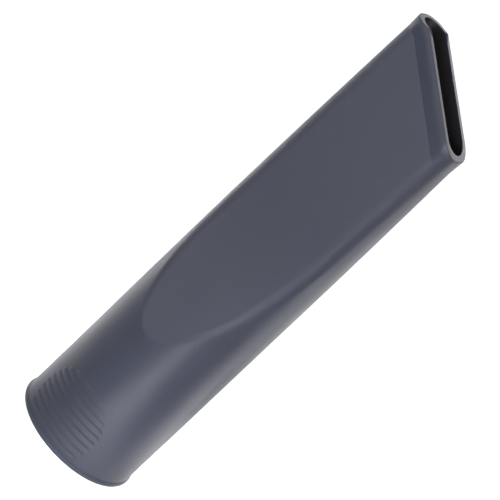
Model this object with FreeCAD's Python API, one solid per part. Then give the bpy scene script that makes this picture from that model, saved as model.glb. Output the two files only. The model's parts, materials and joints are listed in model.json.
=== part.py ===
import FreeCAD, Part
import math
import os
from FreeCAD import Vector

# Crevice tool for a vacuum cleaner, one hollow plastic moulding.
# A round socket at the rim pushes over the end of a wand or hose. Above it the body is
# flattened on both sides, first by a steep ramp and then by a slow taper, into a wide thin
# nozzle whose mouth is cut at a slant.
# The origin is the centre of the rim, +Z runs along the axis to the mouth, Y is across the
# two broad faces, and +X is the side where the slanted mouth ends lowest. Millimetres.

# Socket
TUBE_DIAMETER = 35.0
SOCKET_PLAY = 0.1
SOCKET_WALL = 2.0
SOCKET_DEPTH = 40.0
LEAD_IN = 0.8
STOP_LEDGE = 0.3

# Bead round the rim
BEAD_PROUD = 0.48
BEAD_HEIGHT = 1.8
BEAD_CHAMFER = 0.5

# Body, with the ramp and blade angles measured from the axis
LENGTH = 160.0
SIDE_DRAFT = 0.7
RAMP_START = 45.5
RAMP_ANGLE = 16.0
BLADE_ANGLE = 3.3
BLADE_THICKNESS = 9.8
BLEND_RADIUS = 150.0
EDGE_ROUND = 4.6

# Air passage, with one wall behind the broad faces and another at the mouth's two ends
WALL = 1.2
END_WALL = 1.6
PASSAGE_DRAFT = 0.1

# Mouth, with the slant measured from a square cut
MOUTH_ANGLE = 29.4
TIP_WIDTH = 7.1
TIP_ROUND = 0.5
COLLAR_DEPTH = 5.9
LIP_CHAMFER = 0.2

# Grip ribs, raised bars that fill a round patch on each broad side of the socket
RIB_COUNT = 9
RIB_PITCH = 2.28
RIB_WIDTH = 1.6
RIB_HEIGHT = 0.35
RIB_FLANK_ANGLE = 25.0
RIB_ROOT = 0.2
LOWEST_RIB = 3.1
PATCH_RADIUS = 13.5
PATCH_CENTRE = 9.3

# Half width of flat that a rounded long edge leaves at the thin end
END_LAND = 0.25
# How far cutting shapes run past what they cut
OVERRUN = 2.0
# How close a point lies to a surface that it is on
TOLERANCE = 0.01

BORE_RADIUS = TUBE_DIAMETER / 2 + SOCKET_PLAY
RIM_RADIUS = BORE_RADIUS + SOCKET_WALL
BEAD_RADIUS = RIM_RADIUS + BEAD_PROUD
REACH = BEAD_RADIUS + OVERRUN
ORIGIN = Vector(0, 0, 0)
UP = Vector(0, 0, 1)

ramp = math.radians(RAMP_ANGLE)
blade = math.radians(BLADE_ANGLE)
slant = math.radians(MOUTH_ANGLE)


def polyline(points):
    return [Part.LineSegment(start, end).toShape() for start, end in zip(points, points[1:])]


def arc(start, middle, end):
    return Part.Arc(start, middle, end).toShape()


def middle(edge):
    return edge.valueAt((edge.FirstParameter + edge.LastParameter) / 2)


def face_of(edges):
    return Part.Face(Part.Wire(Part.__sortEdges__(edges)))


def turned(points):
    """Solid of revolution about the axis from an outline of radius and height."""
    corners = [Vector(radius, 0, z) for radius, z in points]
    return face_of(polyline(corners + corners[:1])).revolve(ORIGIN, UP, 360)


def side_radius(z):
    """Outer radius of the drafted round body at a height."""
    return RIM_RADIUS - SIDE_DRAFT * z / LENGTH


def passage_radius(z):
    """Radius of the drafted air passage, from the ledge at the socket's end to the tip."""
    share = (z - SOCKET_DEPTH) / (LENGTH - SOCKET_DEPTH)
    return BORE_RADIUS - STOP_LEDGE - PASSAGE_DRAFT * share


class FlatProfile:
    """Side view of the two broad faces: ramp, blend arc and blade, set in by a wall."""

    def __init__(self, inset):
        self.ramp_inset = inset / math.cos(ramp)
        self.blade_inset = inset / math.cos(blade)
        drop = self.ramp_half(0) - self.blade_half(0)
        corner = drop / (math.tan(ramp) - math.tan(blade))
        self.blend_radius = BLEND_RADIUS + inset
        tangent = self.blend_radius * math.tan((ramp - blade) / 2)
        self.blend_start = corner - tangent * math.cos(ramp)
        self.blend_end = corner + tangent * math.cos(blade)
        self.centre_z = self.blend_start + self.blend_radius * math.sin(ramp)
        self.centre_y = self.ramp_half(self.blend_start) + self.blend_radius * math.cos(ramp)

    def ramp_half(self, z):
        return side_radius(RAMP_START) - math.tan(ramp) * (z - RAMP_START) - self.ramp_inset

    def blade_half(self, z):
        return BLADE_THICKNESS / 2 + math.tan(blade) * (LENGTH - z) - self.blade_inset

    def half(self, z):
        """Half the thickness between the broad faces at a height."""
        if z < self.blend_start:
            return self.ramp_half(z)
        if z > self.blend_end:
            return self.blade_half(z)
        return self.centre_y - math.sqrt(self.blend_radius**2 - (z - self.centre_z) ** 2)

    def holds(self, point):
        """Whether a point is on one of the broad faces."""
        return abs(abs(point.y) - self.half(point.z)) < TOLERANCE

    def rounding(self, radius, top):
        """An edge rounding, limited to what the thin end has room for."""
        return min(radius, self.half(top) - END_LAND)

    def band(self, half_width, top):
        """All the space between the broad faces, over a width across the axis."""
        foot = RAMP_START + (self.ramp_half(RAMP_START) - REACH) / math.tan(ramp)
        blend_middle = (self.blend_start + self.blend_end) / 2

        def at(side, z):
            return Vector(-half_width, side * self.half(z), z)

        def base(side):
            return Vector(-half_width, side * REACH, -OVERRUN)

        edges = polyline([base(-1), base(1)]) + polyline([at(-1, top), at(1, top)])
        for side in (-1, 1):
            edges += polyline([base(side), at(side, foot), at(side, self.blend_start)])
            blend_ends = (self.blend_start, blend_middle, self.blend_end)
            edges.append(arc(*[at(side, z) for z in blend_ends]))
            edges += polyline([at(side, self.blend_end), at(side, top)])
        return face_of(edges).extrude(Vector(2 * half_width, 0, 0))


def outer_body(profile):
    """The outside from the rim, with its bead, to the tip, with its long edges rounded."""
    round_body = turned([
        (0, 0),
        (BEAD_RADIUS - BEAD_CHAMFER, 0),
        (BEAD_RADIUS, BEAD_CHAMFER),
        (side_radius(BEAD_HEIGHT), BEAD_HEIGHT),
        (side_radius(LENGTH), LENGTH),
        (0, LENGTH),
    ])
    body = round_body.common(profile.band(REACH, LENGTH))

    def is_long_edge(edge):
        point = middle(edge)
        on_side = abs(math.hypot(point.x, point.y) - side_radius(point.z)) < TOLERANCE
        return on_side and profile.holds(point)

    long_edges = [edge for edge in body.Edges if is_long_edge(edge)]
    return body.makeFillet(profile.rounding(EDGE_ROUND, LENGTH), long_edges)


def air_passage(profile):
    """The space inside the body: a round start that narrows to a slot with rounded ends."""
    bottom = SOCKET_DEPTH - OVERRUN
    top = LENGTH + OVERRUN
    half_width = side_radius(LENGTH) - END_WALL
    slot = profile.band(half_width, top)

    def is_long_edge(edge):
        point = middle(edge)
        on_end = abs(abs(point.x) - half_width) < TOLERANCE
        return on_end and profile.holds(point)

    long_edges = [edge for edge in slot.Edges if is_long_edge(edge)]
    slot = slot.makeFillet(profile.rounding(EDGE_ROUND - WALL, top), long_edges)
    start = turned([
        (0, bottom),
        (passage_radius(bottom), bottom),
        (passage_radius(top), top),
        (0, top),
    ])
    return start.common(slot)


def socket_bore():
    """The tube's straight seat in the socket, with a lead-in at the rim."""
    return turned([
        (0, -OVERRUN),
        (BORE_RADIUS + LEAD_IN + OVERRUN, -OVERRUN),
        (BORE_RADIUS, LEAD_IN),
        (BORE_RADIUS, SOCKET_DEPTH),
        (0, SOCKET_DEPTH),
    ])


def slant_point(x, below=0):
    """Point at the front of the slanted cut, before the tip is squared off."""
    start = TIP_WIDTH - side_radius(LENGTH)
    return Vector(x, -REACH, LENGTH - math.tan(slant) * (x - start) - below)


def block_above(edges):
    """Cutting block over an outline that runs from side to side at the front."""
    start = edges[0].Vertexes[0].Point
    end = edges[-1].Vertexes[-1].Point
    height = UP * (2 * LENGTH)
    lid = polyline([end, end + height, start + height, start])
    return face_of(edges + lid).extrude(Vector(0, 2 * REACH, 0))


def cut_faces(body):
    """Faces of a mouth cut, which are tipped by the slant at most."""
    def looks_up(face):
        first_u, last_u, first_v, last_v = face.ParameterRange
        normal = face.normalAt((first_u + last_u) / 2, (first_v + last_v) / 2)
        return normal.z > math.cos(slant) - TOLERANCE

    return [face for face in body.Faces if looks_up(face)]


def with_collar(body):
    """The body with its last stretch, parallel to the slanted cut, run straight along the axis."""
    foot = polyline([slant_point(-REACH, COLLAR_DEPTH), slant_point(REACH, COLLAR_DEPTH)])
    body = body.cut(block_above(foot))
    return body.fuse([face.extrude(UP * (COLLAR_DEPTH + OVERRUN)) for face in cut_faces(body)])


def with_mouth(body):
    """The body cut off at the slant and squared off at the tip, with the lip chamfered outside."""
    corner = slant_point(TIP_WIDTH - side_radius(LENGTH))
    tangent = TIP_ROUND * math.tan(slant / 2)
    square_end = corner - Vector(tangent, 0, 0)
    slant_start = slant_point(corner.x + tangent * math.cos(slant))
    bend = Vector(math.sin(slant / 2), 0, math.cos(slant / 2) - 1) * TIP_ROUND
    edges = polyline([Vector(-REACH, -REACH, LENGTH), square_end])
    edges.append(arc(square_end, square_end + bend, slant_start))
    edges += polyline([slant_start, slant_point(REACH)])
    body = body.cut(block_above(edges))
    lip = [edge for face in cut_faces(body) for edge in face.Edges]
    outline = [edge for edge in lip if sum(edge.isSame(other) for other in lip) == 1]
    return body.makeChamfer(LIP_CHAMFER, outline)


def grip_rib(z, side):
    """One bar round the socket with sloping flanks, as long as the round patch is there."""
    surface = side_radius(z)
    half_angle = math.degrees(math.sqrt(PATCH_RADIUS**2 - (z - PATCH_CENTRE) ** 2) / surface)
    slope = math.tan(math.radians(RIB_FLANK_ANGLE))
    root = RIB_WIDTH / 2 + RIB_ROOT * slope
    crest = RIB_WIDTH / 2 - RIB_HEIGHT * slope
    corners = [
        Vector(surface - RIB_ROOT, 0, z - root),
        Vector(surface + RIB_HEIGHT, 0, z - crest),
        Vector(surface + RIB_HEIGHT, 0, z + crest),
        Vector(surface - RIB_ROOT, 0, z + root),
    ]
    section = face_of(polyline(corners + corners[:1]))
    section.rotate(ORIGIN, UP, side * 90 - half_angle)
    return section.revolve(ORIGIN, UP, 2 * half_angle)


def grip_ribs():
    """The bars of the front and back patches, rooted in the socket's wall."""
    heights = [LOWEST_RIB + RIB_PITCH * rib for rib in range(RIB_COUNT)]
    in_patch = [z for z in heights if abs(z - PATCH_CENTRE) + RIB_WIDTH / 2 < PATCH_RADIUS]
    return [grip_rib(z, side) for side in (-1, 1) for z in in_patch]


def crevice_tool():
    body = with_mouth(with_collar(outer_body(FlatProfile(0))))
    body = body.fuse(grip_ribs())
    return body.cut([air_passage(FlatProfile(WALL)), socket_bore()])


os.makedirs("parts", exist_ok=True)
crevice_tool().exportStep("parts/crevice_tool.step")
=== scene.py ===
import json
import math

import bpy
import numpy as np
from bpy.props import FloatProperty, FloatVectorProperty, IntProperty, PointerProperty
from bpy.types import Operator, Panel, PropertyGroup
from mathutils import Matrix, Vector


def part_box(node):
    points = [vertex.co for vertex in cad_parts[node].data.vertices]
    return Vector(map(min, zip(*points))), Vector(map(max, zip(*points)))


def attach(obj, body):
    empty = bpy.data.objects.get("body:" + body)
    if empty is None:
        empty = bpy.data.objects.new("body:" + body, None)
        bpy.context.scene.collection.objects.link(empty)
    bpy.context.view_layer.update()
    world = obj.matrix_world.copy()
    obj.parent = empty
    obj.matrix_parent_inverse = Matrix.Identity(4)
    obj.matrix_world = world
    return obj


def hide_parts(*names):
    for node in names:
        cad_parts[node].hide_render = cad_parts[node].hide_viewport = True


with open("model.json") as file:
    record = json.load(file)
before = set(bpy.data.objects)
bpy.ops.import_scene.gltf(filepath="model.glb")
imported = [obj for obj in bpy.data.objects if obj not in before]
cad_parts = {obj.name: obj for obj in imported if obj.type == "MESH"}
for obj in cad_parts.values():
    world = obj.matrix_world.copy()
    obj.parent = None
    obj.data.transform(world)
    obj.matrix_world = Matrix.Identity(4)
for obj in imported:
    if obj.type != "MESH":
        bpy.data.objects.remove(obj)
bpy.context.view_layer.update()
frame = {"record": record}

bl_info = {
    "name": "Crevice Tool",
    "version": (1, 0, 0),
    "blender": (4, 5, 0),
    "location": "3D View > Sidebar > Crevice Tool",
    "description": "Builds a moulded vacuum crevice tool and a pale studio stage for it",
    "category": "Add Mesh",
}

TOOL_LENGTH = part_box("crevice_tool")[1][2]
SOCKET = next(mount for mount in frame["record"]["mounts"] if mount["name"] == "socket")


def metres(name, description, default):
    """A size in metres, shown in the scene's length unit."""
    return FloatProperty(name=name, description=description, default=default,
                         unit="LENGTH", subtype="DISTANCE", precision=5)


def degrees(name, description, default):
    """An angle written and shown in degrees, kept in radians."""
    return FloatProperty(name=name, description=description, default=math.radians(default),
                         subtype="ANGLE")


def colour(name, description, default):
    """A linear colour."""
    return FloatVectorProperty(name=name, description=description, default=default,
                               subtype="COLOR", size=3, min=0, max=1)


class CREVICE_PG_sizes(PropertyGroup):
    """Sizes of the moulding, in the frame of the solid model."""

    length: metres("Length", "From the rim to the tip", TOOL_LENGTH)
    rim_radius: metres("Rim radius", "Outside of the socket at the rim, without the bead", 0.0196)
    side_draft: metres("Side draft", "How much the round sides draw in over the length", 0.0007)
    bore_radius: metres("Bore radius", "Inside of the socket", SOCKET["dims"]["r_mm"] / 1000)
    socket_depth: metres("Socket depth", "From the rim to the ledge that stops the wand", 0.040)
    ledge: metres("Ledge", "Width of the ledge at the socket's end", 0.0003)
    lead_in: metres("Lead-in", "Chamfer inside the rim", 0.0008)
    bead_proud: metres("Bead", "How far the bead at the rim stands out", 0.00046)
    bead_height: metres("Bead height", "Where the bead meets the side", 0.0016)
    bead_middle: metres("Bead middle", "Height where the bead stands out most", 0.00065)
    ramp_start: metres("Ramp start", "Height where the ramps begin on the round sides", 0.0455)
    ramp_angle: degrees("Ramp angle", "Slope of the ramps from the axis", 16.0)
    blade_angle: degrees("Blade angle", "Slope of the broad faces from the axis", 3.3)
    blade_thickness: metres("Blade thickness", "Between the broad faces at the tip", 0.0098)
    blend_radius: metres("Blend radius", "Bend between ramp and blade", 0.150)
    edge_round: metres("Edge round", "Rounding of the long edges", 0.0046)
    wall: metres("Wall", "Behind the broad faces", 0.0012)
    passage_draft: metres("Passage draft", "How much the passage draws in", 0.0001)
    slot_width: metres("Slot width", "Across the passage, from end to end", 0.0352)
    slot_half: metres("Slot half", "Half the slot's thickness at the mouth", 0.0042)
    slot_shift: metres("Slot shift", "How far the slot lies to its low end", 0.0002)
    slot_round: metres("Slot round", "Rounding of the passage's long edges", 0.0041)
    mouth_angle: degrees("Mouth angle", "Slant of the mouth from a square cut", 29.4)
    tip_width: metres("Tip width", "Square part of the mouth at the tip", 0.0071)
    tip_round: metres("Tip round", "Bend between the square tip and the slant", 0.0005)
    collar_depth: metres("Collar depth", "Straight strip below the mouth", 0.0059)
    mouth_half: metres("Mouth half", "Half the mouth's thickness outside", 0.00575)
    lip_roll: metres("Lip roll", "How far the strip rolls in at the lip", 0.00026)
    heel_flare: metres("Heel flare", "How far the strip leans out at the mouth's low end", 0.0004)
    lip_round: metres("Lip round", "Rounding of the lip's outer edge", 0.0002)


class CREVICE_PG_ribs(PropertyGroup):
    """Sizes of the grip ribs on the two broad sides of the socket."""

    count: IntProperty(name="Count", description="Ribs on each side", default=9, min=1)
    pitch: metres("Pitch", "From rib to rib", 0.00228)
    lowest: metres("Lowest", "Height of the lowest rib", 0.0031)
    width: metres("Width", "Across a rib at its root", 0.0016)
    height: metres("Height", "How far a rib stands out", 0.00035)
    flank_angle: degrees("Flank angle", "Slope of a rib's sides", 36.0)
    patch_radius: metres("Patch radius", "Round patch that the ribs fill", 0.0135)
    patch_centre: metres("Patch centre", "Height of the patch's centre", 0.0093)


class CREVICE_PG_looks(PropertyGroup):
    """Colours of the plastic and of the stage."""

    plastic: colour("Plastic", "Satin blue-grey of the moulding", (0.0365, 0.0418, 0.0730))
    # Darker, greyer colour on the inside of the passage.
    inside: colour("Inside", "Duller plastic in the air passage", (0.034, 0.033, 0.036))
    dust: colour("Dust", "Sparse pale specks on the plastic", (0.30, 0.30, 0.32))
    floor: colour("Floor", "Pale floor under the tool", (0.92, 0.92, 0.92))
    shine: FloatProperty(name="Shine", description="Strength of the plastic's reflection", default=0.5,
                         min=0, max=1)
    # Painted shade: a weaker reflection on the collar strip, which darkens it.
    collar_painted_shade_shine: FloatProperty(name="Collar shine", description="The same on the strip at the mouth",
                                default=0.31, min=0, max=1)
    ambient: FloatProperty(name="Ambient", description="Light from all round", default=0.2, min=0)


# Shape of the moulding

AROUND = 384  # points in each ring
LEVEL_TOP = 0.625  # share of the length where level rings give way to tilted ones
ROLL_START = 0.55  # share of the collar where it begins to roll in


def side_radius(size, z):
    """Outer radius of the round sides: the rim's, less a draft that grows evenly with height."""
    return size.rim_radius - size.side_draft * z / size.length


def flat_half(size, z, inset=0.0):
    """Half the thickness between the broad faces at a height, set in by a wall.

    A ramp falls from the round side, a blade tapers slowly to the tip, and a circle arc that
    touches both joins them.
    """
    ramp, blade = size.ramp_angle, size.blade_angle

    def ramp_half(at):
        start = side_radius(size, size.ramp_start)
        return start - math.tan(ramp) * (at - size.ramp_start) - inset / math.cos(ramp)

    def blade_half(at):
        end = size.blade_thickness / 2
        return end + math.tan(blade) * (size.length - at) - inset / math.cos(blade)

    corner = (ramp_half(0) - blade_half(0)) / (math.tan(ramp) - math.tan(blade))
    radius = size.blend_radius + inset
    tangent = radius * math.tan((ramp - blade) / 2)
    start = corner - tangent * math.cos(ramp)
    end = corner + tangent * math.cos(blade)
    centre_z = start + radius * math.sin(ramp)
    centre_y = ramp_half(start) + radius * math.cos(ramp)
    arc = centre_y - np.sqrt(np.maximum(radius**2 - (z - centre_z) ** 2, 0))
    return np.where(z < start, ramp_half(z), np.where(z > end, blade_half(z), arc))


def outer_reach(size, turn, z):
    """Distance from the axis to the outside in a direction, at a height.

    The section is a circle cut by two flats. A smaller circle that touches the flat and the
    big circle from inside rounds each corner between them.
    """
    across, along = np.abs(np.cos(turn)), np.abs(np.sin(turn))
    side = side_radius(size, z)
    half = np.minimum(flat_half(size, z), side)
    corner_y = half - size.edge_round
    corner_x = np.sqrt(np.maximum((side - size.edge_round) ** 2 - corner_y**2, 0))
    middle = corner_x * across + corner_y * along
    chord = size.edge_round**2 - (corner_x**2 + corner_y**2 - middle**2)
    rounded = middle + np.sqrt(np.maximum(chord, 0))
    on_side = along * corner_x <= corner_y * across
    on_flat = along * corner_x >= half * across
    flat = half / np.maximum(along, 1e-9)
    return np.where(on_side, side, np.where(on_flat, flat, rounded))


def passage_reach(size, turn, z):
    """Distance from the axis to the wall of the air passage in a direction, at a height.

    The section is a slot with rounded corners, held inside a circle that draws in slowly.
    From 0.7 to 0.86 of the length the slot settles to one thickness, leaves the circle and
    moves a little to its low end.
    """
    across, along = np.abs(np.cos(turn)), np.abs(np.sin(turn))
    near_mouth = smooth((z / size.length - 0.7) / 0.16)
    half_width = size.slot_width / 2 + near_mouth * size.slot_shift * np.cos(turn)
    half = (1 - near_mouth) * flat_half(size, z, size.wall) + near_mouth * size.slot_half
    corner_x = half_width - size.slot_round
    corner_y = half - size.slot_round
    middle = corner_x * across + corner_y * along
    chord = size.slot_round**2 - (corner_x**2 + corner_y**2 - middle**2)
    rounded = middle + np.sqrt(np.maximum(chord, 0))
    on_end = along * half_width <= corner_y * across
    on_flat = along * corner_x >= half * across
    end = half_width / np.maximum(across, 1e-9)
    flat = half / np.maximum(along, 1e-9)
    slot = np.where(on_end, end, np.where(on_flat, flat, rounded))
    share = (z - size.socket_depth) / (size.length - size.socket_depth)
    limit = size.bore_radius - size.ledge - size.passage_draft * share
    return np.minimum(slot, (1 - near_mouth) * limit + near_mouth * size.rim_radius)


def smooth(share):
    """Step from 0 to 1 that starts and ends level."""
    share = np.clip(share, 0, 1)
    return share * share * (3 - 2 * share)


def rib_relief(ribs, turn, z, radius):
    """Height of the grip ribs on the round side.

    Each rib is a bar with round ends, as long as the round patch is at its height. Its
    height falls off with the distance from the bar's middle line, over the sloping flank.
    """
    number = np.clip(np.round((z - ribs.lowest) / ribs.pitch), 0, ribs.count - 1)
    middle = ribs.lowest + ribs.pitch * number
    run = np.sqrt(np.maximum(ribs.patch_radius**2 - (middle - ribs.patch_centre) ** 2, 0))
    arc = radius * np.arctan2(np.abs(np.cos(turn)), np.abs(np.sin(turn)))
    beyond = np.maximum(arc - (run - ribs.width / 2), 0)
    distance = np.hypot(beyond, z - middle)
    flank = ribs.height * math.tan(ribs.flank_angle)
    return ribs.height * smooth((ribs.width / 2 - distance) / flank)


def bead_relief(size, z):
    """Height of the bead on the rim: a parabola over its middle that ends in a crease."""
    share = (z - size.bead_middle) / (size.bead_height - size.bead_middle)
    return size.bead_proud * np.maximum(1 - share**2, 0)


def lip_height(size, x):
    """Height of the mouth's edge: square at the tip, then a bend, then the slant."""
    corner = size.tip_width - side_radius(size, size.length)
    tangent = size.tip_round * math.tan(size.mouth_angle / 2)
    bend_start = corner - tangent
    bend_end = corner + tangent * math.cos(size.mouth_angle)
    bend = size.length - size.tip_round
    bend = bend + np.sqrt(np.maximum(size.tip_round**2 - (x - bend_start) ** 2, 0))
    slant = size.length - math.tan(size.mouth_angle) * (x - corner)
    return np.where(x < bend_start, size.length, np.where(x < bend_end, bend, slant))


def collar_height(size, x):
    """Height of the collar's foot: parallel to the slant, and level round the tip's corner.

    The level part lies three quarters of the collar's depth down.
    """
    corner = size.tip_width - side_radius(size, size.length)
    slant = size.length - math.tan(size.mouth_angle) * (x - corner) - size.collar_depth
    return np.minimum(slant, size.length - 0.75 * size.collar_depth)


def spread(turns, weight):
    """Directions round the axis, as dense as a running weight grows."""
    return np.interp(np.arange(AROUND) / AROUND, weight / weight[-1], turns)


def directions(size):
    """Two layouts of directions: denser on the ribs, and even along the thin section."""
    turns = np.linspace(0, 2 * math.pi, 8001)
    patch = 1 + 1.4 / (1 + (np.abs(np.cos(turns)) / 0.7) ** 12)
    round_layout = spread(turns, np.concatenate([[0], np.cumsum(patch[1:])]))
    reach = outer_reach(size, turns, np.full_like(turns, 0.9 * size.length))
    x, y = reach * np.cos(turns), reach * np.sin(turns)
    step = np.hypot(np.diff(x), np.diff(y))
    heading = np.unwrap(np.arctan2(np.diff(y), np.diff(x)))
    bend = np.abs(np.diff(heading, append=heading[0] + 2 * math.pi))
    weight = np.concatenate([[0], np.cumsum(step + size.edge_round * bend)])
    return round_layout, spread(turns, weight)


def level_rings(reach, turn, z):
    """Rings of points at fixed heights, one row for each height."""
    z = np.broadcast_to(z[:, None], turn.shape)
    out = reach(turn, z)
    return np.stack([out * np.cos(turn), out * np.sin(turn), z], axis=-1)


def tilted_rings(reach, turn, share, base, top):
    """Rings between a level base and a tilted top, as shares of the way up at each x.

    The height depends on x and x on the height, so the pair is settled by repetition.
    """
    turn = np.broadcast_to(turn, (len(share), len(turn)))
    z = np.full(turn.shape, base)
    for _ in range(8):
        out = reach(turn, z)
        x = out * np.cos(turn)
        z = base + share[:, None] * (top(x) - base)
    return np.stack([x, out * np.sin(turn), z], axis=-1)


def outward(ring):
    """Unit directions out of a ring across its own outline, seen along the axis."""
    ahead = np.roll(ring, -1, axis=0) - np.roll(ring, 1, axis=0)
    out = np.stack([ahead[:, 1], -ahead[:, 0]], axis=-1)
    return out / np.linalg.norm(out, axis=1, keepdims=True)


def set_out(ring, distance):
    """A ring moved outwards across its own outline, seen along the axis."""
    moved = ring.copy()
    moved[:, :2] += np.reshape(distance, (-1, 1)) * outward(ring)
    return moved


def side_heights(size, ribs):
    """Heights of the level rings outside, crowded on the bead, the ribs and the ramps' start."""
    bead = np.append(np.linspace(0, size.bead_height, 11), 1.05 * size.bead_height)
    rows = np.array([-0.42, -0.36, -0.31, -0.26, -0.2, -0.1, 0, 0.1, 0.2, 0.26, 0.31, 0.36])
    rib = (ribs.lowest + ribs.pitch * (np.arange(ribs.count)[:, None] + rows)).ravel()
    ramp_low, ramp_high = size.ramp_start - 0.0018, size.ramp_start + 0.004
    side = np.linspace(rib[-1] + 0.1 * ribs.pitch, ramp_low, 12)
    crowd = np.linspace(ramp_low, ramp_high, 15)[1:]
    ramp = np.linspace(ramp_high, LEVEL_TOP * size.length, 34)[1:]
    above_bead = rib[rib > 1.1 * size.bead_height]
    return np.concatenate([bead, above_bead, side, crowd, ramp])


def collar_rings(size, foot):
    """Rings of the collar above its foot, rings over the rounded lip, and the collar's painted shade.

    The broad faces run straight to one thickness all along the mouth. A swell grows with the
    share of the way up, and a parabola from the roll's start takes it back at the lip. The low
    end leans out. The painted shade says how much of a weaker reflection each point of the collar has;
    it darkens the strip's flat faces and fades out toward the lip.
    """
    out = outward(foot)
    faces, heel = out[:, 1] ** 2, np.maximum(out[:, 0], 0) ** 2
    room = size.mouth_half - flat_half(size, foot[:, 2])
    rim = set_out(foot, faces * room + heel * size.heel_flare)
    rim[:, 2] = lip_height(size, rim[:, 0]) - size.lip_round
    share = np.array([0.02, 0.3, 0.55, 0.65, 0.75, 0.85, 0.95])
    collar = foot + share[:, None, None] * (rim - foot)
    rolled = np.maximum((share - ROLL_START) / (1 - ROLL_START), 0) ** 2
    swell = size.lip_roll * (share - rolled)
    collar[:, :, :2] += (swell[:, None] * faces)[:, :, None] * out
    # Painted shade: the collar's flat faces reflect less, fading out toward the lip, which darkens the
    # strip.
    masks = (1 - smooth((share - ROLL_START) / 0.4))[:, None] * faces**3

    turns = np.linspace(0, math.pi / 2, 8)
    lip = np.stack([set_out(rim, size.lip_round * (math.cos(turn) - 1)) for turn in turns])
    drop = size.lip_round * (1 - np.sin(turns))
    lip[:, :, 2] = lip_height(size, lip[:, :, 0]) - drop[:, None]
    return collar, lip, masks


def bore_profile(size):
    """Heights and radii of the socket's bore, from the ledge down to the lead-in at the rim."""
    z = np.append(np.linspace(size.socket_depth, size.lead_in, 5), 0)
    radius = np.full(len(z), size.bore_radius)
    radius[-1] += size.lead_in
    return z, radius


def shell_rings(size, ribs):
    """All rings of the moulding, up the outside, over the lip and down the inside.

    Returns the points as rows of rings, the numbers of the rings that are sharp edges, and
    for each mask (the collar's painted shade, and the darker colour inside) how much of it every point
    has.
    """
    round_layout, flat_layout = directions(size)
    level_top = LEVEL_TOP * size.length

    def layout(z):
        share = smooth((z / size.length - 0.2) / 0.4)[:, None]
        return (1 - share) * round_layout + share * flat_layout

    def outside(turn, z):
        radius = outer_reach(size, turn, z)
        return radius + rib_relief(ribs, turn, z, radius) + bead_relief(size, z)

    def inside(turn, z):
        return passage_reach(size, turn, z)

    z = side_heights(size, ribs)
    level = level_rings(outside, layout(z), z)
    share = np.concatenate([np.linspace(0, 0.985, 20)[1:], [0.997, 1.0]])
    blade = tilted_rings(outside, flat_layout, share, level_top, lambda x: collar_height(size, x))
    collar, lip, collar_painted_shade = collar_rings(size, blade[-1])

    share = np.array([1.0, 0.985, 0.93, 0.8, 0.6, 0.4, 0.2])
    mouth = tilted_rings(inside, flat_layout, share, level_top, lambda x: lip_height(size, x))
    z = np.linspace(level_top, size.socket_depth, 20)
    passage = level_rings(inside, layout(z), z)
    z, radius = bore_profile(size)
    bore = level_rings(lambda turn, at: np.broadcast_to(radius[:, None], turn.shape), layout(z), z)

    parts = [level, blade, collar, lip, mouth, passage, bore]
    starts = np.cumsum([0] + [len(part) for part in parts])
    collar_at, lip_at, mouth_at, bore_at, end = starts[[2, 3, 4, 6, 7]]
    # Sharp edges: the rim, the lip's inner edge, and both edges of the ledge and the lead-in
    sharp = [0, mouth_at, bore_at - 1, bore_at, end - 2, end - 1]
    # Masks: the collar's painted shade, and the darker colour inside the passage.
    masks = {kind: np.zeros((end, AROUND)) for kind in ("collar", "inside")}
    masks["collar"][collar_at:lip_at] = collar_painted_shade
    masks["inside"][mouth_at + 1:] = 1
    return np.concatenate(parts), sharp, masks


def ring_mesh(name, rings, sharp, masks):
    """Closed mesh from rings of points, each joined to the next and the last to the first.

    An attribute for each mask, such as the collar's painted shade, says how much of it a point has.
    """
    rows, around = rings.shape[:2]
    number = np.arange(rows * around).reshape(rows, around)
    up = np.roll(number, -1, axis=0)
    quads = np.stack([number, np.roll(number, -1, axis=1), np.roll(up, -1, axis=1), up], axis=-1)
    mesh = bpy.data.meshes.new(name)
    mesh.from_pydata(rings.reshape(-1, 3), [], quads.reshape(-1, 4))
    mesh.shade_smooth()
    ends = np.empty(len(mesh.edges) * 2, dtype=np.int32)
    mesh.edges.foreach_get("vertices", ends)
    edge_rows = ends.reshape(-1, 2) // around
    is_sharp = (edge_rows[:, 0] == edge_rows[:, 1]) & np.isin(edge_rows[:, 0], sharp)
    marks = mesh.attributes.new("sharp_edge", "BOOLEAN", "EDGE")
    marks.data.foreach_set("value", is_sharp)
    for kind, amount in masks.items():
        marks = mesh.attributes.new(kind, "FLOAT", "POINT")
        marks.data.foreach_set("value", amount.ravel())
    mesh.validate()
    return mesh


# Materials

MIX_FIRST, MIX_SECOND, MIX_RESULT = 6, 7, 2  # colour sockets of a Mix node
FLOOR_GLOW = 0.8  # the floor's own light, as the eye sees it
FLOOR_MIRRORED = 0.7  # share of that light in reflections
FOOTPRINT = 0.0185  # radius under the tool where the floor doesn't glow


def add_node(tree, kind, inputs=None, **settings):
    """A node with its settings and unlinked inputs set."""
    node = tree.nodes.new(kind)
    for name, value in settings.items():
        setattr(node, name, value)
    for name, value in (inputs or {}).items():
        node.inputs[name].default_value = value
    return node


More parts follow.
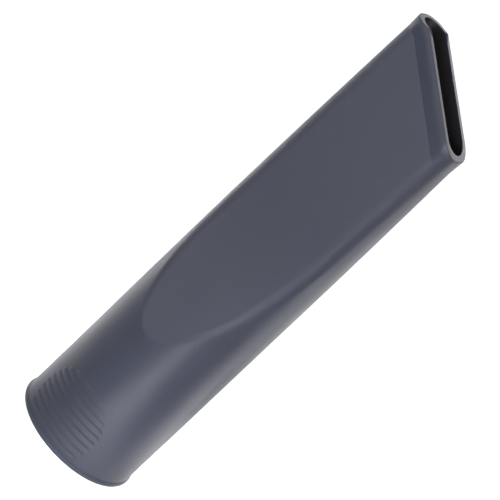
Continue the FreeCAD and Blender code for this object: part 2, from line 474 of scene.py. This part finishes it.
def satin_plastic(looks):
    """Satin moulded plastic: fine eroded grain, faint flow of the melt and sparse dust.

    Inside the passage its colour is darker and greyer. The collar reflects less, which is painted
    shade.
    """
    material = bpy.data.materials.new("satin_moulded_plastic")
    material.use_nodes = True
    tree = material.node_tree
    tree.nodes.clear()
    link = tree.links.new
    place = add_node(tree, "ShaderNodeTexCoord")
    grain = add_node(tree, "ShaderNodeTexNoise", {"Scale": 5200.0, "Detail": 3.0, "Roughness": 0.6})
    stretch = add_node(tree, "ShaderNodeMapping")
    stretch.inputs["Scale"].default_value = (1.0, 1.0, 0.18)
    flow = add_node(tree, "ShaderNodeTexNoise", {"Scale": 130.0, "Detail": 4.0, "Distortion": 0.6})
    link(place.outputs["Object"], grain.inputs["Vector"])
    link(place.outputs["Object"], stretch.inputs["Vector"])
    link(stretch.outputs["Vector"], flow.inputs["Vector"])

    tint = add_node(tree, "ShaderNodeMix", data_type="RGBA")
    deep, pale = (tuple(part * share for part in looks.plastic) + (1.0,) for share in (0.94, 1.06))
    tint.inputs[MIX_FIRST].default_value = deep
    tint.inputs[MIX_SECOND].default_value = pale
    link(flow.outputs["Fac"], tint.inputs[0])

    # Darker, greyer colour inside the passage.
    inside = add_node(tree, "ShaderNodeAttribute", attribute_name="inside")
    sides = add_node(tree, "ShaderNodeMix", data_type="RGBA")
    sides.inputs[MIX_SECOND].default_value = (*looks.inside, 1.0)
    link(inside.outputs["Fac"], sides.inputs[0])
    link(tint.outputs[MIX_RESULT], sides.inputs[MIX_FIRST])

    cells = add_node(tree, "ShaderNodeTexVoronoi", {"Scale": 290.0})
    link(place.outputs["Object"], cells.inputs["Vector"])
    speck = add_node(tree, "ShaderNodeMapRange",
                     {"From Min": 0.02, "From Max": 0.055, "To Min": 0.22, "To Max": 0.0})
    link(cells.outputs["Distance"], speck.inputs["Value"])
    dusty = add_node(tree, "ShaderNodeMix", data_type="RGBA")
    dusty.inputs[MIX_SECOND].default_value = (*looks.dust, 1.0)
    link(speck.outputs["Result"], dusty.inputs[0])
    link(sides.outputs[MIX_RESULT], dusty.inputs[MIX_FIRST])

    gloss = add_node(tree, "ShaderNodeMapRange",
                     {"From Min": 0.3, "From Max": 0.7, "To Min": 0.31, "To Max": 0.37})
    link(flow.outputs["Fac"], gloss.inputs["Value"])
    # Painted shade: the collar's mask lowers the reflection there, which darkens the strip.
    collar = add_node(tree, "ShaderNodeAttribute", attribute_name="collar")
    shine = add_node(tree, "ShaderNodeMapRange", {"To Min": looks.shine, "To Max": looks.collar_painted_shade_shine})
    link(collar.outputs["Fac"], shine.inputs["Value"])

    bump = add_node(tree, "ShaderNodeBump", {"Strength": 0.12, "Distance": 0.00003})
    link(grain.outputs["Fac"], bump.inputs["Height"])

    plastic = add_node(tree, "ShaderNodeBsdfPrincipled", {"IOR": 1.5})
    link(dusty.outputs[MIX_RESULT], plastic.inputs["Base Color"])
    link(gloss.outputs["Result"], plastic.inputs["Roughness"])
    link(shine.outputs["Result"], plastic.inputs["Specular IOR Level"])
    link(bump.outputs["Normal"], plastic.inputs["Normal"])
    output = add_node(tree, "ShaderNodeOutputMaterial")
    link(plastic.outputs["BSDF"], output.inputs["Surface"])
    return material


def shows_white(tree, mirrored):
    """A factor that is 1 for what the eye sees directly or through glass, less in a reflection."""
    link = tree.links.new
    path = add_node(tree, "ShaderNodeLightPath")
    mirror = add_node(tree, "ShaderNodeMath", operation="MULTIPLY")
    mirror.inputs[1].default_value = mirrored
    link(path.outputs["Is Glossy Ray"], mirror.inputs[0])
    seen = add_node(tree, "ShaderNodeMath", operation="MAXIMUM")
    link(path.outputs["Is Camera Ray"], seen.inputs[0])
    link(mirror.outputs["Value"], seen.inputs[1])
    through = add_node(tree, "ShaderNodeMath", operation="MAXIMUM")
    link(seen.outputs["Value"], through.inputs[0])
    link(path.outputs["Is Transmission Ray"], through.inputs[1])
    return through.outputs["Value"]


def pale_floor(looks):
    """Pale floor that reads as white, except right under the tool, and keeps its shadow."""
    material = bpy.data.materials.new("pale_floor")
    material.use_nodes = True
    tree = material.node_tree
    tree.nodes.clear()
    link = tree.links.new
    place = add_node(tree, "ShaderNodeTexCoord")
    far = add_node(tree, "ShaderNodeVectorMath", operation="LENGTH")
    link(place.outputs["Object"], far.inputs["Vector"])
    clear = add_node(tree, "ShaderNodeMath", operation="GREATER_THAN")
    clear.inputs[1].default_value = FOOTPRINT
    link(far.outputs["Value"], clear.inputs[0])
    glow = add_node(tree, "ShaderNodeMath", operation="MULTIPLY")
    link(shows_white(tree, FLOOR_MIRRORED), glow.inputs[0])
    link(clear.outputs["Value"], glow.inputs[1])
    white = add_node(tree, "ShaderNodeEmission", {"Color": (FLOOR_GLOW, FLOOR_GLOW, FLOOR_GLOW, 1.0)})
    link(glow.outputs["Value"], white.inputs["Strength"])
    matt = add_node(tree, "ShaderNodeBsdfDiffuse", {"Color": (*looks.floor, 1.0)})
    both = add_node(tree, "ShaderNodeAddShader")
    link(matt.outputs["BSDF"], both.inputs[0])
    link(white.outputs["Emission"], both.inputs[1])
    output = add_node(tree, "ShaderNodeOutputMaterial")
    link(both.outputs["Shader"], output.inputs["Surface"])
    return material


def soft_world(looks):
    """White surroundings, which light the tool evenly at a lower level."""
    world = bpy.data.worlds.new("soft_surroundings")
    world.use_nodes = True
    tree = world.node_tree
    tree.nodes.clear()
    link = tree.links.new
    even = (1.0, 1.0, 1.0, 1.0)
    light = add_node(tree, "ShaderNodeBackground", {"Color": even, "Strength": looks.ambient})
    white = add_node(tree, "ShaderNodeBackground", {"Color": even, "Strength": 1.0})
    mix = add_node(tree, "ShaderNodeMixShader")
    link(shows_white(tree, 1.0), mix.inputs["Fac"])
    link(light.outputs["Background"], mix.inputs[1])
    link(white.outputs["Background"], mix.inputs[2])
    output = add_node(tree, "ShaderNodeOutputWorld")
    link(mix.outputs["Shader"], output.inputs["Surface"])
    return world


# Lamps and camera

UP = Vector((0, 0, 1))
TOOL_MIDDLE = TOOL_LENGTH / 2 * UP
LAMP_DISTANCE = 0.8  # of the soft lamps from the tool's middle
STRIP_HEIGHT = 0.3  # of the floor strips above the floor
STRIP_SPREAD = math.radians(14)
FLOOR_REACH = 3.0  # from the tool to each side
FLOOR_DROP = 0.00005  # below the rim, so that the two don't share a plane
VIEW_SWING, VIEW_RISE, VIEW_ROLL = 21.6, 22.3692, 46.3354  # degrees
VIEW_ASIDE, VIEW_ABOVE, VIEW_DISTANCE = 0.049687, 0.052612, 0.85  # from the rim's centre
VIEW_LENS = 211.77  # millimetres, for a picture 36 mm wide


def facing(swing, rise=0.0):
    """Unit direction out from the tool, by degrees round it from the front and above the floor."""
    swing, rise = math.radians(swing), math.radians(rise)
    level = math.cos(rise)
    return Vector((level * math.sin(swing), -level * math.cos(swing), math.sin(rise)))


def area_lamp(scene, name, width, height, power, matrix):
    """A rectangular lamp with its sides in metres and its power in watts."""
    lamp = bpy.data.lights.new(name, "AREA")
    lamp.shape = "RECTANGLE"
    lamp.size, lamp.size_y = width, height
    lamp.energy = power
    holder = bpy.data.objects.new(name, lamp)
    holder.matrix_world = matrix
    scene.collection.objects.link(holder)
    return holder


def soft_lamp(scene, name, swing, rise, width, height, power):
    """A soft lamp that faces the tool's middle, from a direction in degrees."""
    way = facing(swing, rise)
    turn = way.to_track_quat("Z", "Y").to_matrix().to_4x4()
    place = Matrix.Translation(TOOL_MIDDLE + LAMP_DISTANCE * way)
    area_lamp(scene, name, width, height, power, place @ turn)


def floor_strip(scene, name, swing, start, end, width, power):
    """A long lamp that hangs over the floor and lights only a band of it, out from the tool.

    The band shines up on the tool's sides as a white board would.
    """
    out = facing(swing)
    turn = Matrix((out.cross(UP), out, UP)).transposed().to_4x4()
    place = Matrix.Translation((start + end) / 2 * out + STRIP_HEIGHT * UP)
    holder = area_lamp(scene, name, width, end - start, power, place @ turn)
    holder.data.spread = STRIP_SPREAD
    holder.visible_camera = False


def rolled_view(scene):
    """The camera, turned round the tool, raised, and rolled about the line of sight."""
    back = facing(VIEW_SWING, VIEW_RISE)
    level = facing(VIEW_SWING + 90)
    roll = math.radians(VIEW_ROLL)
    right = math.cos(roll) * level + math.sin(roll) * back.cross(level)
    up = back.cross(right)
    view = bpy.data.cameras.new("view")
    view.sensor_width = 36.0
    view.lens = VIEW_LENS
    holder = bpy.data.objects.new("view", view)
    place = VIEW_ASIDE * right + VIEW_ABOVE * up + VIEW_DISTANCE * back
    turn = Matrix((right, up, back)).transposed().to_4x4()
    holder.matrix_world = Matrix.Translation(place) @ turn
    scene.collection.objects.link(holder)
    scene.camera = holder


# Operators


class CREVICE_OT_shell(Operator):
    """Build the hollow moulding with its ribs, bead, collar and lip"""

    bl_idname = "crevice.shell"
    bl_label = "Moulding"

    def execute(self, context):
        scene = context.scene
        rings, sharp, masks = shell_rings(scene.crevice_sizes, scene.crevice_ribs)
        mesh = ring_mesh("crevice_tool_shell", rings, sharp, masks)
        mesh.materials.append(satin_plastic(scene.crevice_looks))
        shell = bpy.data.objects.new("crevice_tool_shell", mesh)
        scene.collection.objects.link(shell)
        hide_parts("crevice_tool")
        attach(shell, "root")
        return {"FINISHED"}


class CREVICE_OT_stage(Operator):
    """Build the pale floor, the soft lamps and the camera"""

    bl_idname = "crevice.stage"
    bl_label = "Stage"

    def execute(self, context):
        scene = context.scene
        looks = scene.crevice_looks
        scene.view_settings.view_transform = "Standard"
        scene.world = soft_world(looks)
        corners = FLOOR_REACH * np.array([(-1, -1), (1, -1), (1, 1), (-1, 1)])
        mesh = bpy.data.meshes.new("floor")
        mesh.from_pydata(np.column_stack([corners, np.full(4, -FLOOR_DROP)]), [], [(0, 1, 2, 3)])
        mesh.materials.append(pale_floor(looks))
        floor = bpy.data.objects.new("floor", mesh)
        scene.collection.objects.link(floor)

        soft_lamp(scene, "lamp_front", swing=22, rise=5, width=0.6, height=0.14, power=1.55)
        soft_lamp(scene, "lamp_right", swing=66, rise=5, width=0.4, height=0.14, power=0.65)
        soft_lamp(scene, "lamp_left", swing=-30, rise=5, width=0.5, height=0.14, power=0.38)
        soft_lamp(scene, "lamp_high", swing=-25, rise=48, width=0.13, height=0.13, power=0.32)
        soft_lamp(scene, "lamp_back", swing=183, rise=26, width=0.5, height=0.15, power=0.76)
        floor_strip(scene, "strip_right", swing=40, start=0.03, end=0.53, width=0.03, power=0.22)
        floor_strip(scene, "strip_back", swing=124, start=0.035, end=0.535, width=0.035, power=0.125)
        floor_strip(scene, "strip_left", swing=-103, start=0.03, end=0.53, width=0.06, power=0.1)
        floor_strip(scene, "far_front", swing=-9, start=0.36, end=0.7, width=0.28, power=0.47)
        floor_strip(scene, "far_left", swing=-70, start=0.3, end=0.7, width=0.1, power=0.15)
        floor_strip(scene, "far_back", swing=154, start=0.14, end=0.46, width=0.17, power=0.095)
        floor_strip(scene, "far_side", swing=-100, start=0.18, end=0.5, width=0.16, power=0.21)
        rolled_view(scene)
        return {"FINISHED"}


class CREVICE_PT_sidebar(Panel):
    """Lists the steps and the sizes of the crevice tool"""

    bl_idname = "CREVICE_PT_sidebar"
    bl_label = "Crevice Tool"
    bl_space_type = "VIEW_3D"
    bl_region_type = "UI"
    bl_category = "Crevice Tool"

    def draw(self, context):
        layout = self.layout
        layout.operator(CREVICE_OT_shell.bl_idname)
        layout.operator(CREVICE_OT_stage.bl_idname)
        for kind in GROUPS:
            group = getattr(context.scene, kind)
            box = layout.box()
            for name in group.bl_rna.properties.keys():
                if name not in {"rna_type", "name"}:
                    box.prop(group, name)


GROUPS = {
    "crevice_sizes": CREVICE_PG_sizes,
    "crevice_ribs": CREVICE_PG_ribs,
    "crevice_looks": CREVICE_PG_looks,
}
CLASSES = (*GROUPS.values(), CREVICE_OT_shell, CREVICE_OT_stage, CREVICE_PT_sidebar)


def register():
    for item in CLASSES:
        bpy.utils.register_class(item)
    for name, group in GROUPS.items():
        setattr(bpy.types.Scene, name, PointerProperty(type=group))


def unregister():
    for name in GROUPS:
        delattr(bpy.types.Scene, name)
    for item in reversed(CLASSES):
        bpy.utils.unregister_class(item)


def main():
    register()
    bpy.ops.crevice.shell()
    bpy.ops.crevice.stage()


if __name__ == "__main__":
    main()
